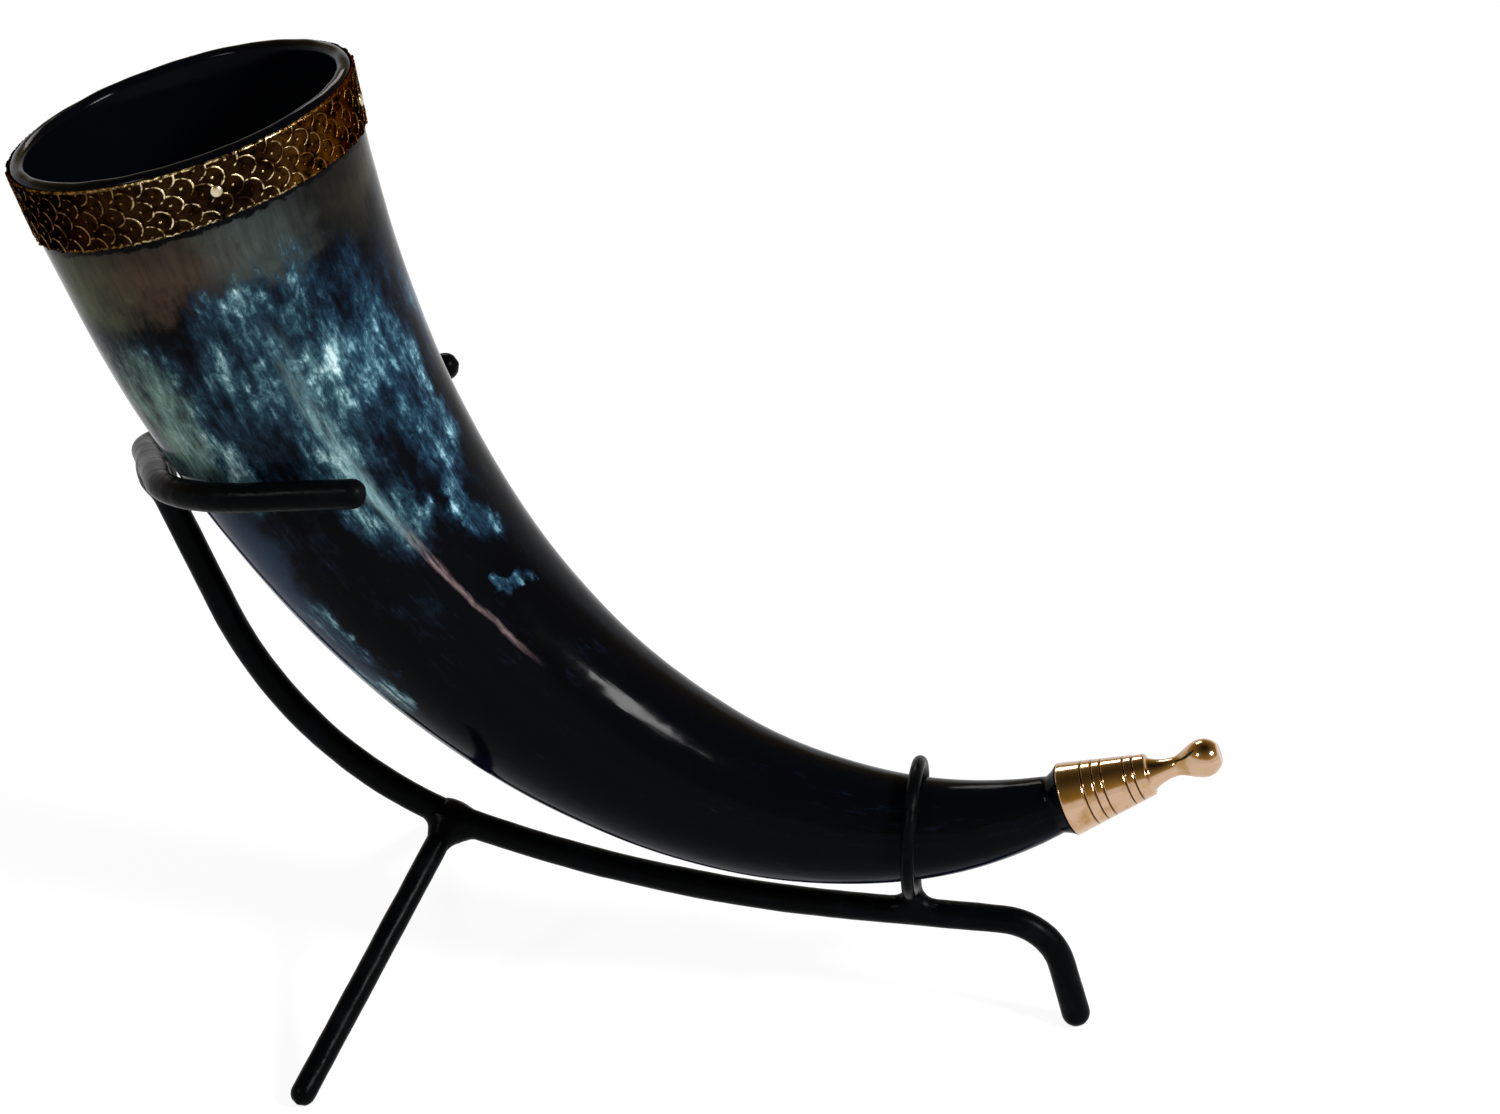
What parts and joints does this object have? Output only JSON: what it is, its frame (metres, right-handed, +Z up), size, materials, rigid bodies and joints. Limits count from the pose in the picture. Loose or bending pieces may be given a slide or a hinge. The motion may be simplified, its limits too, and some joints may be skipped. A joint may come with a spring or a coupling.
{
  "type": "horn drinking cup on stand",
  "caption": "Curved horn drinking cup with an embossed brass rim band and a turned brass tip, lying in a forged black iron rod stand with a cradle, a tip hoop and splayed legs.",
  "frame": {"origin": "on the table, under the middle of the whole object", "axes": "+X from the mouth end to the tip, +Y away from the side with the short cradle arm, +Z up"},
  "size_m": [0.2537, 0.1206, 0.2078],
  "materials": {
    "horn": "polished black horn, mottled grey and olive toward the mouth",
    "old_brass": "embossed, darkened in the hollows",
    "nail": "bright worn heads",
    "bright_brass": "polished",
    "black_iron": "gloss black paint over forged bar"
  },
  "bodies": {
    "stand": {"spine_rod": "black_iron", "cradle": "black_iron", "tip_hoop": "black_iron", "near_rear_leg": "black_iron", "far_rear_leg": "black_iron", "cradle_weld": "black_iron", "hoop_weld": "black_iron", "leg_weld": "black_iron"},
    "horn_cup": {"horn": "horn", "rim_band": "old_brass", "band_nails": "nail", "tip_finial": "bright_brass"}
  },
  "joints": [
    {"name": "horn_draw", "type": "hinge", "parent": "stand", "child": "horn_cup", "pos_m": [0.0624, 0, 0.1462], "axis": [0, 1, 0], "range_deg": [0, 42]}
  ]
}
